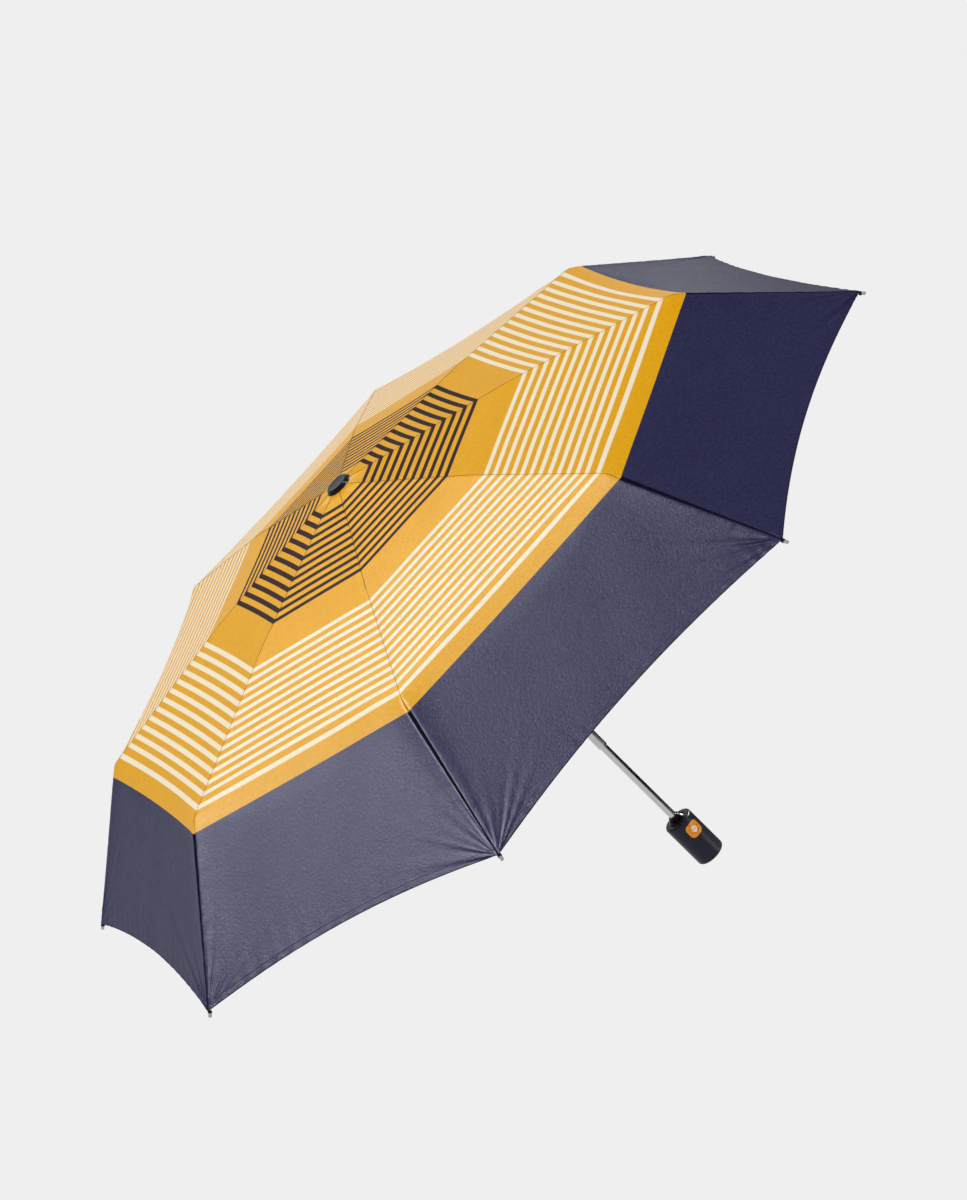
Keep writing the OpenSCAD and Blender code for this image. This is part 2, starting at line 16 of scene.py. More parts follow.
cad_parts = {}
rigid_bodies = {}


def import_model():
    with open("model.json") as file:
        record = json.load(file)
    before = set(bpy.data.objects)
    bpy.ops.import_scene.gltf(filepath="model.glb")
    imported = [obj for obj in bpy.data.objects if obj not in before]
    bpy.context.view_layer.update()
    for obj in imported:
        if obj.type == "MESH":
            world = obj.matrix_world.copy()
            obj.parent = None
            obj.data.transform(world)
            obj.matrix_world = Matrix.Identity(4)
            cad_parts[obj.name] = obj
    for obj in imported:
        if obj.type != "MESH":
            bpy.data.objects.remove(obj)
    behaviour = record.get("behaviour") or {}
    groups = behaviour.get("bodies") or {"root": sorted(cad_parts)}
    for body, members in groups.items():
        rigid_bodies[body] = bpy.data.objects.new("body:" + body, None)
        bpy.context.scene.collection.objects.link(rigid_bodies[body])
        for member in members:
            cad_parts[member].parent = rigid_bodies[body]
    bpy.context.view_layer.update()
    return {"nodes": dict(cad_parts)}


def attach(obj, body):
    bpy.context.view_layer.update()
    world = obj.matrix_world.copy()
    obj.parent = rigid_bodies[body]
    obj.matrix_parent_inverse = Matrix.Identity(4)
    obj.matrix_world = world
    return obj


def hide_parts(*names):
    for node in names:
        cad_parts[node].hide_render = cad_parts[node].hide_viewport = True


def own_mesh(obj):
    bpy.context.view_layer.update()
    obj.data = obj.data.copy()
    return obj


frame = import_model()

MM = 0.001
RIBS = 8
STEP = 360 / RIBS
HALF_STEP = math.radians(STEP / 2)

# %% [markdown]
# ## The camera
# The photograph was taken from the side of rib 1 and rib 3, a little above the canopy, with a long lens, and the
# picture is rolled by about 45 degrees. The camera's three axes were fitted to the rib tips, joints, crown and
# handle. Sensor fit AUTO lays the sensor's width along the long side of the picture.

# %% Set the camera
right = Vector((-0.48961, 0.56245, -0.66628))
down = Vector((0.73777, -0.14004, -0.66036))
forward = Vector((-0.46473, -0.81489, -0.34639))
stand = Vector((2.28028, 4.03861, 2.0823))
FOCAL_PIXELS, PICTURE_HEIGHT, SENSOR_MM = 4977.3, 1200, 36
lens_data = bpy.data.cameras.new("photo_camera")
lens_data.sensor_width = SENSOR_MM
lens_data.lens = FOCAL_PIXELS / PICTURE_HEIGHT * SENSOR_MM
lens_data.clip_end = 60
camera = bpy.data.objects.new("photo_camera", lens_data)
bpy.context.scene.collection.objects.link(camera)
camera.matrix_world = Matrix((
    (right.x, -down.x, -forward.x, stand.x),
    (right.y, -down.y, -forward.y, stand.y),
    (right.z, -down.z, -forward.z, stand.z),
    (0, 0, 0, 1)))
bpy.context.scene.camera = camera
print("lens", round(lens_data.lens, 1), "mm")

# %% [markdown]
# ## Node trees as Python expressions
# A shader or a Geometry Nodes tree is a chain of sums. Wrapping a socket in a small class lets the sums be
# written as Python, so `1 - mask * 0.5` adds its own Math nodes. Every other node comes from one function, `node`,
# which sets the node's own settings first and then its sockets.

# %% The socket class and the node function
class Wire:
    """A node's output socket that can be reckoned with like a number."""

    def __init__(self, tree, socket):
        self.tree, self.socket = tree, socket

    def maths(self, operation, *terms, clamp=False):
        return node(self.tree, "ShaderNodeMath", {"operation": operation, "use_clamp": clamp}, terms)

    def out(self, name):
        return Wire(self.tree, self.socket.node.outputs[name])

    def __add__(self, other): return self.maths("ADD", self, other)
    def __radd__(self, other): return self.maths("ADD", other, self)
    def __sub__(self, other): return self.maths("SUBTRACT", self, other)
    def __rsub__(self, other): return self.maths("SUBTRACT", other, self)
    def __mul__(self, other): return self.maths("MULTIPLY", self, other)
    def __rmul__(self, other): return self.maths("MULTIPLY", other, self)
    def __truediv__(self, other): return self.maths("DIVIDE", self, other)
    def __rtruediv__(self, other): return self.maths("DIVIDE", other, self)
    def __pow__(self, other): return self.maths("POWER", self, other)
    def __abs__(self): return self.maths("ABSOLUTE", self)
    def fraction(self): return self.maths("FRACT", self)
    def clamped(self): return self.maths("ADD", self, 0.0, clamp=True)


def pick(sockets, key):
    """A socket by its place, its name or its identifier."""
    if isinstance(key, int):
        return sockets[key]
    for socket in sockets:
        if socket.identifier == key:
            return socket
    return sockets[key]


def node(tree, kind, settings=None, values=()):
    """Adds a node, applies its settings, then its values or links, and returns its first output in use."""
    made = tree.nodes.new(kind)
    for name, value in (settings or {}).items():
        setattr(made, name, value)
    pairs = values.items() if isinstance(values, dict) else enumerate(values)
    for key, value in pairs:
        socket = pick(made.inputs, key)
        if isinstance(value, Wire):
            tree.links.new(value.socket, socket)
        else:
            socket.default_value = value
    used = [s for s in made.outputs if s.enabled]
    return Wire(tree, used[0]) if used else made


def linear(colour):
    """An sRGB colour, as three numbers from 0 to 255, in the linear light that sockets hold."""
    light = [c / 255 for c in colour]
    return tuple(c / 12.92 if c <= 0.04045 else ((c + 0.055) / 1.055) ** 2.4 for c in light) + (1.0,)


def blend_colours(tree, share, first, second):
    return node(tree, "ShaderNodeMix", {"data_type": "RGBA"},
                {"Factor_Float": share, "A_Color": first, "B_Color": second})


def finish(name, **constants):
    """A new material with one Principled shader, whose constant values are set on its own sockets."""
    material = bpy.data.materials.new(name)
    material.use_nodes = True
    shader = material.node_tree.nodes["Principled BSDF"]
    for key, value in constants.items():
        shader.inputs[key.replace("_", " ")].default_value = value
    return material, material.node_tree, shader


def feed(tree, shader, name, value):
    tree.links.new(value.socket, shader.inputs[name])


def surface(tree, shader_output):
    """Joins a finished shader to the material's output."""
    tree.links.new(shader_output.socket, tree.nodes["Material Output"].inputs["Surface"])


def object_place(tree):
    return node(tree, "ShaderNodeTexCoord").out("Object")


def noise(tree, place, scale, detail=2.0, roughness=0.5):
    return node(tree, "ShaderNodeTexNoise", {"normalize": True},
                {"Vector": place, "Scale": scale, "Detail": detail, "Roughness": roughness})


def bumped(tree, shader, height, distance, strength=1.0):
    relief = node(tree, "ShaderNodeBump", {}, {"Height": height, "Distance": distance, "Strength": strength})
    feed(tree, shader, "Normal", relief)


# %% [markdown]
# ## The canopy cloth
# The real cloth is a fine polyester pongee with a satin face. Its pattern is woven and printed in straight bands
# that run across each gore, so the bands are a function of one number only: how far down the gore a thread lies.
# The mesh carries that distance in an attribute, `from_crown`, together with the distances from the seam and from
# the hem, and the material works the bands out from it. The bands aren't painted, but a thin dark line along each
# seam and along the hem is painted shade. The dark dye hardly shines, so a second, matt shader is mixed in on the dark
# bands; beside a navy seam the same matt shader, in near-black, is a painted shade in the valley there.

# %% The cloth's material
FIRST_DARK, DARK_PITCH, DARK_COUNT, DARK_WIDTH = 29.4, 12.15, 11, 5.5
FIRST_CREAM, CREAM_PITCH, CREAM_COUNT, CREAM_WIDTH = 207.0, 12.25, 12, 5.7
LAST_CREAM, NAVY_FROM = 356.5, 382.5
BAND_EDGE = 0.2
DARK_STRIPE, CREAM_STRIPE = linear((52, 38, 44)), linear((242, 230, 202))
YELLOWS = linear((219, 156, 1)), linear((232, 170, 4))
NAVIES = linear((31, 30, 64)), linear((46, 45, 84))
SEAM_SHADOW, VALLEY_SHADOW = linear((22, 18, 30)), linear((20, 18, 32))

cloth, tree, shader = finish("canopy_cloth", Specular_IOR_Level=0.03)


def attribute(tree, name):
    return node(tree, "ShaderNodeAttribute", {"attribute_name": name}).out("Fac")


def bands(distance, first, pitch, count, width):
    """1 on each of count bands of that width, 0 between them, with an edge a fifth of a millimetre soft."""
    phase = ((distance - first) / pitch + 0.5).fraction()
    near = abs(phase - 0.5) * pitch
    inside = ((width / 2 - near) / BAND_EDGE + 0.5).clamped()
    middle, half = first + pitch * (count - 1) / 2, pitch * count / 2
    return inside * ((half - abs(distance - middle)) / BAND_EDGE + 0.5).clamped()


crown_mm = attribute(tree, "from_crown")
seam_mm = attribute(tree, "from_seam")
hem_mm = attribute(tree, "from_hem")
place = object_place(tree)
drift = (noise(tree, place, 500.0, 1.0) - 0.5) * 0.12
thread = crown_mm + drift
dark = bands(thread, FIRST_DARK, DARK_PITCH, DARK_COUNT, DARK_WIDTH)
cream = bands(thread, FIRST_CREAM, CREAM_PITCH, CREAM_COUNT, CREAM_WIDTH)
last = ((CREAM_WIDTH / 2 + 0.3 - abs(thread - LAST_CREAM)) / BAND_EDGE + 0.5).clamped()
cream = cream.maths("MAXIMUM", cream, last)
navy = ((thread - NAVY_FROM) / 0.3 + 0.5).clamped()
mottle = noise(tree, place, 35.0, 3.0) * 0.4 + noise(tree, place, 360.0, 2.0, 0.8) * 2.6 - 1.0
yellow = blend_colours(tree, mottle, *YELLOWS)
colour = blend_colours(tree, dark, yellow, DARK_STRIPE)
colour = blend_colours(tree, cream, colour, CREAM_STRIPE)
colour = blend_colours(tree, navy, colour, blend_colours(tree, mottle, *NAVIES))
seam_shade = ((0.9 - seam_mm) / 0.5).clamped() * 0.1
taper = 1 - ((crown_mm - NAVY_FROM) / 200).clamped() * 0.65
# painted shade: a near-black strip, narrowing towards the tip, in the valley beside each navy seam
valley_painted_shade = ((2.0 * taper - seam_mm) / 0.5).clamped() * navy
hem_shade = ((1.1 - hem_mm) / 0.5).clamped() * 0.5
shade = seam_shade.maths("MAXIMUM", seam_shade, hem_shade)
colour = blend_colours(tree, shade, colour, SEAM_SHADOW)
feed(tree, shader, "Base Color", colour)
grain = noise(tree, place, 420.0, 3.0, 0.8)
gloss_cloud = (noise(tree, place, 120.0, 3.0) - 0.5) * 0.12
feed(tree, shader, "Roughness", 0.33 + gloss_cloud + (grain - 0.5) * 0.3)
fold_marks = (1 - abs(noise(tree, place, 9.0, 2.0) * 2 - 1)) ** 26
hem_line = ((0.5 - abs(hem_mm - 6.0)) / 0.5).clamped()
bumped(tree, shader, grain - fold_marks * 0.12 - hem_line * 0.7, 0.0006, 0.6)
# the matt shader is near-black painted shade in the navy seam valley, and the dye's own colour on the dark bands
matt_colour = blend_colours(tree, dark, VALLEY_SHADOW, DARK_STRIPE)
matt = node(tree, "ShaderNodeBsdfPrincipled", {},
            {"Base Color": matt_colour, "Roughness": 0.9, "Specular IOR Level": 0.0})
matt_share = valley_painted_shade.maths("MAXIMUM", valley_painted_shade, dark * 0.7)
face = node(tree, "ShaderNodeMixShader", {}, {0: matt_share, 1: Wire(tree, shader.outputs[0]), 2: matt})
surface(tree, face)
print("cloth nodes", len(tree.nodes))

# %% [markdown]
# ## The other finishes
# The handle is dark navy plastic with a satin skin, the collar and the crown cap are glossy black mouldings, the
# button is orange, and the shaft is plated steel. Each finish gets the small unevenness that the real one has: a
# mould's orange peel, a polishing wheel's fine lines along a tube, or the dull film on pressed sheet.

# %% Plastics
def plastic(name, colour, roughness, peel, grain=700.0, level=0.5):
    """A moulded plastic: a faint mottle in its colour and gloss, and an orange peel of that height in metres."""
    material, tree, shader = finish(name, Specular_IOR_Level=level)
    place = object_place(tree)
    cloud = noise(tree, place, 60.0, 3.0)
    deep = tuple(c * 0.8 for c in colour[:3]) + (1.0,)
    feed(tree, shader, "Base Color", blend_colours(tree, cloud, deep, colour))
    feed(tree, shader, "Roughness", roughness + (noise(tree, place, 240.0, 2.0) - 0.5) * 0.1)
    bumped(tree, shader, noise(tree, place, grain, 2.0), peel, 0.5)
    return material


handle_skin = plastic("handle_navy_satin", linear((28, 25, 44)), 0.36, 0.00002, 160.0, 0.2)
gloss_black = plastic("glossy_black_moulding", linear((12, 11, 14)), 0.1, 0.00001, level=0.1)
frame_nylon = plastic("black_nylon", linear((24, 24, 26)), 0.45, 0.00006)
button_orange = plastic("button_orange", linear((242, 150, 20)), 0.25, 0.00002, level=0.25)
button_cream = plastic("button_inlay_cream", linear((246, 232, 208)), 0.3, 0.00002, level=0.25)
thread_dark = plastic("sewing_thread_navy", linear((24, 22, 38)), 0.6, 0.00005, 2500.0, 0.1)
thread_brown = plastic("sewing_thread_brown", linear((84, 52, 30)), 0.6, 0.00005, 2500.0, 0.1)
thread_gold = plastic("sewing_thread_gold", linear((176, 112, 30)), 0.6, 0.00005, 2500.0, 0.1)
hem_cloth = plastic("hem_roll", linear((30, 28, 52)), 0.5, 0.00005, 2500.0, 0.1)


# %% Metals
def metal(name, colour, roughness, along_axis, streak):
    """A metal skin with fine lines: along_axis squeezes the noise so that the lines run along the shaft."""
    material, tree, shader = finish(name, Metallic=1.0, Roughness=roughness)
    squeeze = node(tree, "ShaderNodeMapping", {}, {"Vector": object_place(tree), "Scale": along_axis})
    lines = noise(tree, squeeze, 1.0, 3.0, 0.6)
    film = noise(tree, object_place(tree), 90.0, 3.0)
    deep = tuple(c * 0.82 for c in colour[:3]) + (1.0,)
    feed(tree, shader, "Base Color", blend_colours(tree, film, deep, colour))
    feed(tree, shader, "Roughness", roughness + (lines - 0.5) * streak)
    bumped(tree, shader, lines, 0.00001, 0.2)
    return material


tube_plate = metal("plated_steel_tube", linear((206, 206, 206)), 0.27, (1500, 1500, 12), 0.1)
rib_sheet = metal("pressed_rib_sheet", linear((176, 178, 182)), 0.34, (300, 300, 300), 0.14)
wire_steel = metal("spring_wire", linear((150, 150, 152)), 0.3, (800, 800, 800), 0.12)
print("materials", len(bpy.data.materials))

# %% [markdown]
# ## Turned and dressed pieces
# Tubes, the collar and the crown cap are lathe work: an outline of radius and height is spun round the shaft. The
# outline is a closed loop, so that the wall has a real inside, and the spin is merged at the axis where it closes
# there. Pieces that aren't round start from the CAD node's own mesh, merged into clean faces and given a small
# bevel, because a moulded edge is never quite sharp.

# %% The lathe and the bevel
def new_piece(name, mesh, material):
    piece = bpy.data.objects.new(name, mesh)
    bpy.context.scene.collection.objects.link(piece)
    mesh.materials.clear()
    mesh.materials.append(material)
    return piece


ON_AXIS = 1e-6


def smooth_mesh(mesh, angle=35.0):
    mesh.shade_smooth()
    mesh.set_sharp_from_angle(angle=math.radians(angle))


def turned(name, outline, material, steps=96):
    """Spins a closed outline of [radius, height] in mm, listed so that the solid lies to its left, round the shaft."""
    made = bmesh.new()
    rings = []
    for radius, height in outline:
        if radius < ON_AXIS:
            rings.append([made.verts.new((0, 0, height * MM))] * steps)
        else:
            turns = [2 * math.pi * k / steps for k in range(steps)]
            rings.append([made.verts.new((radius * MM * math.cos(a), radius * MM * math.sin(a), height * MM))
                          for a in turns])
    closed = outline[0][0] > ON_AXIS
    for a in range(len(rings) if closed else len(rings) - 1):
        low, high = rings[a], rings[(a + 1) % len(rings)]
        for k in range(steps):
            n = (k + 1) % steps
            corners = list(dict.fromkeys([low[k], low[n], high[n], high[k]]))
            if len(corners) > 2:
                made.faces.new(corners)
    bmesh.ops.recalc_face_normals(made, faces=made.faces)
    mesh = bpy.data.meshes.new(name)
    made.to_mesh(mesh)
    made.free()
    smooth_mesh(mesh)
    return new_piece(name, mesh, material)


def dressed(name, cad_node, material, body, bevel):
    """A copy of a CAD node's mesh with merged faces and a bevel of that width in mm, in that node's place."""
    made = bmesh.new()
    made.from_mesh(frame["nodes"][cad_node].data)
    bmesh.ops.remove_doubles(made, verts=made.verts, dist=2e-6)
    bmesh.ops.dissolve_limit(made, angle_limit=math.radians(1.0), verts=made.verts, edges=made.edges)
    mesh = bpy.data.meshes.new(name)
    made.to_mesh(mesh)
    made.free()
    smooth_mesh(mesh, 32.0)
    piece = new_piece(name, mesh, material)
    if bevel:
        edge = piece.modifiers.new("edge", "BEVEL")
        edge.width, edge.segments, edge.limit_method = bevel * MM, 2, "ANGLE"
        edge.angle_limit, edge.harden_normals = math.radians(40), True
    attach(piece, body)
    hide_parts(cad_node)
    return piece


# %% [markdown]
# ## The shaft
# Three tubes slide in each other. The thinnest is at the bottom, in the handle. The lower end of each outer tube
# is rolled inwards a little, which catches the light as a thin bright ring, and the outline of the spin shows it.

# %% Turn the three tubes
def tube_outline(low, high, outer, inner, roll):
    return [(inner, low + roll), (inner, high), (outer - 0.1, high), (outer, high - 0.2), (outer, low + 2.2),
            (outer - 0.12, low + 1.6), (outer, low + 1.0), (outer, low + 0.4), (outer - roll, low)]


for name, low, high, outer, inner in (("lower_tube", 6, 194, 4, 3.4), ("middle_tube", 168, 373, 5, 4.08),
                                      ("upper_tube", 347, 560.2, 6, 5.08)):
    piece = turned(name + "_plated", tube_outline(low, high, outer, inner, 0.35), tube_plate, 64)
    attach(piece, "handle" if name == "lower_tube" else name)
    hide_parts(name)
    print(name, "from", low, "to", high, "mm")

# %% [markdown]
# ## The handle
# The handle is a plain round grip with a soft edge at its end. A glossy collar with a tapered neck closes it round
# the shaft. The shell keeps the CAD mesh, because the button's window is cut through it; the collar is turned.

# %% Handle shell, end cap and collar
shell = dressed("handle_grip", "handle_shell", handle_skin, "handle", 0.3)
end_cap = dressed("handle_end_cap", "base_cap", handle_skin, "handle", 0.2)
collar = turned("handle_collar_turned", [
    (4.1, 51.6), (7.5, 51.6), (7.5, 53.9), (9.3, 54.0), (9.6, 54.2), (9.6, 54.7), (9.4, 55.1), (7.6, 57.6), (7.3, 57.9),
    (6.9, 58.0), (6.7, 58.2), (6.5, 58.9), (6.1, 59.6), (5.6, 60.0), (4.5, 60.0), (4.1, 59.7)], gloss_black)
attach(collar, "handle")
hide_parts("handle_collar")
print("collar", round(collar.dimensions.x * 1000, 1), "mm wide")

# %% [markdown]
# ## The button
# The button is a square of orange plastic with round corners. Its face has a round dish with an orange ring round
# it, and in the dish lie two plain cream triangles, the usual sign for opening and closing. The button's own mesh
# comes from the CAD node; the inlay is two thin prisms set into the dish, and the ring is a torus.

# %% Button and inlay
push = dressed("button_cap", "button", button_orange, "button", 0.7)
coil = dressed("button_coil", "button_spring", wire_steel, "button", 0)

FACING, HANDLE_R, BUTTON_Z = math.radians(82), 15.9, 39.5
TRIANGLE = ((-3.9, 0.35), (3.9, 0.35), (0, 4.6))
RING_R, RING_THICK, RING_SINK, AROUND, ROUND = 5.3, 0.42, 0.12, 48, 10
out = Vector((math.cos(FACING), math.sin(FACING), 0))
side = Vector((-math.sin(FACING), math.cos(FACING), 0))
up = Vector((0, 0, 1))
dish = out * (HANDLE_R - 0.3) * MM + Vector((0, 0, BUTTON_Z * MM))
made = bmesh.new()
for way in (1, -1):
    flat = [dish + side * (u * MM) + Vector((0, 0, way * v * MM)) for u, v in TRIANGLE]
    low = [made.verts.new(p - out * 0.3 * MM) for p in flat]
    high = [made.verts.new(p + out * 0.2 * MM) for p in flat]
    made.faces.new(low)
    made.faces.new(high)
    for k in range(3):
        made.faces.new((low[k], low[(k + 1) % 3], high[(k + 1) % 3], high[k]))
prism_faces = len(made.faces)


def ring_row(turn):
    """The vertices of one cross-section of the ring, at that angle round the dish."""
    row = []
    for m in range(ROUND):
        c = 2 * math.pi * m / ROUND
        centre = out * (HANDLE_R - RING_SINK + RING_THICK * math.sin(c)) * MM + Vector((0, 0, BUTTON_Z * MM))
        spoke = (side * math.cos(turn) + up * math.sin(turn)) * (RING_R + RING_THICK * math.cos(c)) * MM
        row.append(made.verts.new(centre + spoke))
    return row


for k in range(AROUND):
    first, second = (ring_row(2 * math.pi * (k + n) / AROUND) for n in (0, 1))
    for m in range(ROUND):
        n = (m + 1) % ROUND
        made.faces.new((first[m], first[n], second[n], second[m]))
bmesh.ops.remove_doubles(made, verts=made.verts, dist=1e-6)
bmesh.ops.recalc_face_normals(made, faces=made.faces)
mesh = bpy.data.meshes.new("button_inlay")
made.to_mesh(mesh)
made.free()
inlay = new_piece("button_inlay", mesh, button_cream)
mesh.materials.append(button_orange)
for face in mesh.polygons:
    face.material_index = int(face.index >= prism_faces)
smooth_mesh(mesh)
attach(inlay, "button")
print("inlay faces", len(mesh.polygons))

# %% [markdown]
# ## The crown
# A glossy black cap clamps the cloth against the notch. It has a flat top and a stepped rim.

# %% Turn the crown cap
cap = turned("crown_cap_turned", [
    (0, 551.2), (4.6, 551.2), (4.6, 561.0), (13.8, 561.1), (14.35, 561.3), (14.5, 561.6), (14.5, 562.0), (14.35, 562.3),
    (14.1, 562.5), (12.6, 564.6), (12.3, 564.9), (11.8, 565.15), (11.2, 565.3), (10.7, 565.35), (10.2, 565.3),
    (9.8, 565.15), (9.2, 565.1), (0, 565.1)], gloss_black)
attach(cap, "upper_tube")
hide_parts("crown_cap")
notch_piece = dressed("notch_moulding", "notch", frame_nylon, "upper_tube", 0.15)
runner_piece = dressed("runner_moulding", "runner", frame_nylon, "runner", 0.15)

# %% [markdown]
# ## Ribs
# The ribs are pressed from sheet, so their CAD shape is right as it is. They keep their nodes and get the sheet's
# satin finish; the thin rods that fold the outer ribs get the look of spring wire.

# %% Finish the ribs
for name, cad in frame["nodes"].items():
    kind = name.rsplit("_", 1)[0]
    if kind in ("top_rib", "mid_rib", "tip_rib", "stretcher", "link", "wire"):
        cad.data.materials.clear()
        cad.data.materials.append(wire_steel if kind == "wire" else rib_sheet)
print("ribs finished", sum(n.startswith("top_rib") for n in frame["nodes"]))

# %% [markdown]
# ## The shape of the canopy
# The cloth is eight gores sewn together along the ribs. Over a rib it follows a line with one slope for each rib
# section; between two ribs it is pulled straight, with a slight sag. The rim is cut hollow, so that it stays tight.
# `fabric_line` repeats the CAD source's rule for that line, from the same rib lengths and slopes.

# %% The line of the cloth over a rib
def along(slope):
    return np.array([math.cos(math.radians(slope)), -math.sin(math.radians(slope))])


def upright(slope):
    return np.array([math.sin(math.radians(slope)), math.cos(math.radians(slope))])


TOP, MID, TIP = 9.7, 12.4, 41.5
TOP_LENGTH, MID_LENGTH, TIP_LENGTH = 182.5, 183, 182
NOTCH_R, HOLE_R, CAP_R, SEAT = 9.5, 4.78, 14.5, 560.9
notch_joint = np.array([NOTCH_R, 557.3])
mid_joint = notch_joint + TOP_LENGTH * along(TOP) + 1.8 * upright(TOP)
tip_joint = mid_joint + MID_LENGTH * along(MID) - 3.6 * upright(MID)
tip_end = tip_joint + TIP_LENGTH * along(TIP) + 1.8 * upright(TIP)
fabric_line = np.array([
    (HOLE_R, SEAT), (CAP_R, SEAT), mid_joint + 2.6 * upright((TOP + MID) / 2),
    tip_joint + 5.2 * upright((MID + TIP) / 2), tip_end - 0.3 * along(TIP) + 1.8 * upright(TIP)])
lengths = np.linalg.norm(np.diff(fabric_line, axis=0), axis=1)
corners_mm = np.concatenate([[0], np.cumsum(lengths)]) - (NOTCH_R - HOLE_R)
SCALLOP, SAG = 13.0, 0.006
print("cloth corners at", corners_mm.round(1), "mm from the rib joints' circle")


def on_line(distance):
    """Radius and height of the sharp-cornered line at that distance."""
    return np.stack([np.interp(distance, corners_mm, fabric_line[:, k]) for k in (0, 1)], axis=-1)


def on_rib(corner, bearing, share=1.0):
    """Corner number corner of the line, in mm, turned to that bearing, at that share of its radius."""
    radius = fabric_line[corner, 0] * share
    return np.array([radius * math.cos(bearing), radius * math.sin(bearing), fabric_line[corner, 1]])


def over_rib(distance, soften):
    """Radius and height of the cloth over a rib, with each fold rounded over +-soften mm."""
    distance = np.asarray(distance, float)
    point = on_line(distance)
    for fold in (1, 2, 3):
        reach = soften[fold - 1] * np.ones_like(distance)
        share = (distance - corners_mm[fold] + reach) / (2 * reach)
        start, end = on_line(corners_mm[fold] - reach), on_line(corners_mm[fold] + reach)
        t = np.clip(share, 0, 1)[..., None]
        curve = start * (1 - t) ** 2 + 2 * fabric_line[fold] * t * (1 - t) + end * t ** 2
        inside = (share > 0) & (share < 1)
        point = np.where(inside[..., None], curve, point)
    return point[..., 0], point[..., 1]


# %% [markdown]
# ## Creases, puckers and folds
# Cloth under tension isn't smooth. It fans out in creases from each corner, puckers beside a seam where the thread
# is shorter than the cloth, and gathers under the crown cap. Each of these is a wave whose height dies away from
# where it starts, moved along the cloth's normal. The waves come from a seeded generator, so every run is the same.

# %% Wave helpers
def waves(values, length, rng, count=5):
    """A smooth random wave of about that length, between -1 and 1."""
    total = np.zeros_like(values)
    for _ in range(count):
        total += np.sin(values * (2 * math.pi / (length * rng.uniform(0.7, 1.5))) + rng.uniform(0, 2 * math.pi))
    return total / count * 1.6


def ease(x):
    x = np.clip(x, 0, 1)
    return x * x * (3 - 2 * x)


# %% One gore as a grid
COLUMNS, ROWS = 60, (4, 46, 46, 84)
half_steps = np.linspace(0, 1, COLUMNS + 1) ** 1.8
across = np.concatenate([-1 + half_steps, (1 - half_steps[:-1])[::-1]])
row_zone = np.concatenate([np.full(n, z) for z, n in enumerate(ROWS)] + [[3]])
row_share = np.concatenate([np.arange(n) / n for n in ROWS] + [[1.0]])
row_share = np.where(row_zone == 3, 1 - (1 - row_share) ** 1.25, row_share)
CUT_LEAN = np.array([0, 0, 0.42, 0.2, 0])
FAN_MM, PUCKER_MM, SWELL_MM, RIDGE_MM = 1.8, 0.16, 2.2, 0.5
HEM_WAVE_MM, GATHER_MM, SLOW_WAVE_MM = 0.22, 0.3, 0.32


def normals_of(points):
    """Unit normals of a grid of points, all on its upper side."""
    n = np.cross(np.gradient(points, axis=0), np.gradient(points, axis=1))
    n /= np.maximum(np.linalg.norm(n, axis=-1, keepdims=True), 1e-12)
    return np.where(n[..., 2:3] < 0, -n, n)


